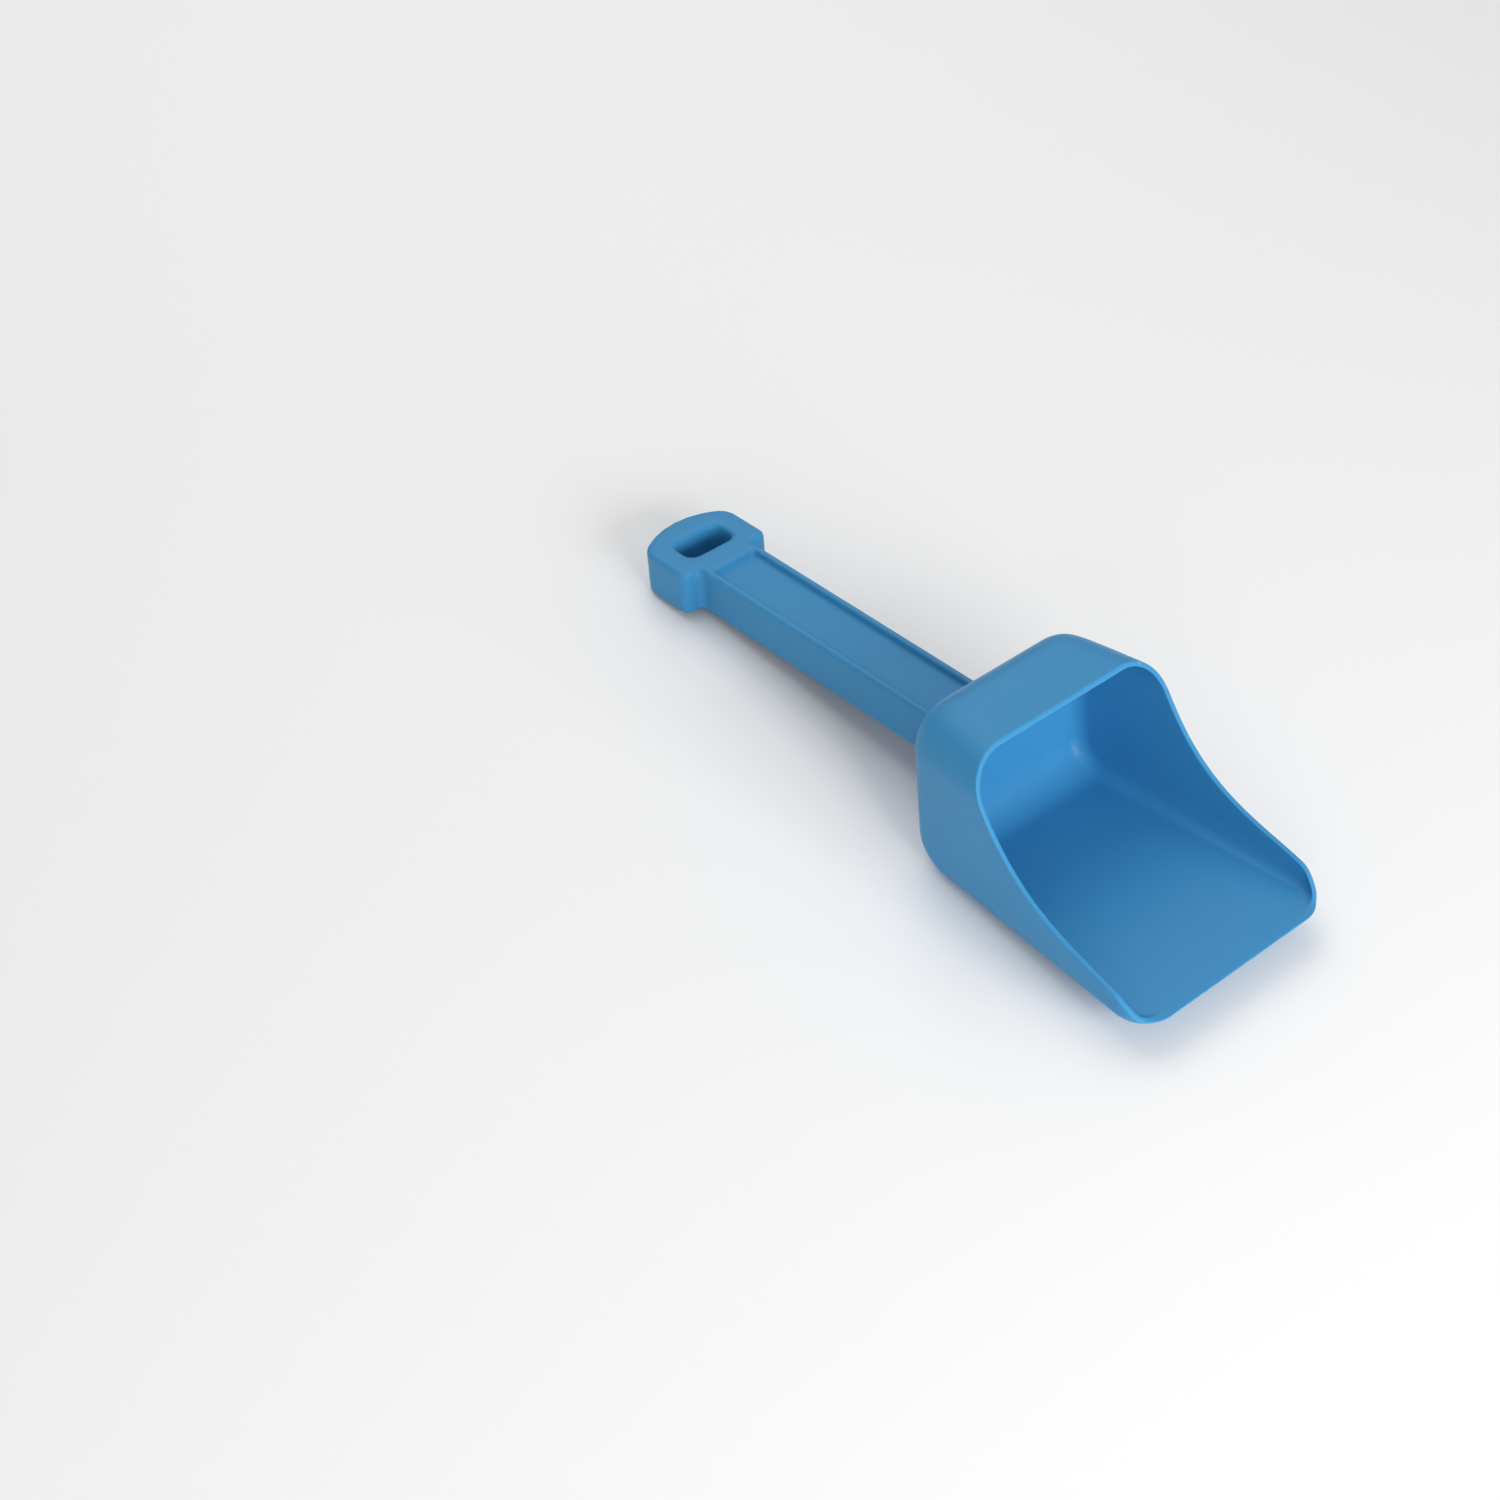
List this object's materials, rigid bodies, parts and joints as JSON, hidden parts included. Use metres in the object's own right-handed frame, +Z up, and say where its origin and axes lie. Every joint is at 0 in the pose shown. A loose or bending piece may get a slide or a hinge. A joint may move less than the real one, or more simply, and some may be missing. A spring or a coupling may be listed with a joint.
{
  "type": "feed scoop",
  "caption": "Plastic feed scoop: deep rounded bowl with a short roof and sloping mouth, straight recessed handle and a D-shaped slotted hang end.",
  "frame": {"origin": "on the ground, centre of the scoop's footprint, with the scoop lying tipped back on the foot of its bowl and the end of its handle", "axes": "+X runs along the handle towards the lip, +Y across the bowl, +Z up"},
  "size_m": [0.3382, 0.1054, 0.0769],
  "materials": {
    "blue_plastic": "satin moulded polypropylene"
  },
  "bodies": {
    "root": {"bowl": "blue_plastic", "handle": "blue_plastic"}
  },
  "joints": []
}
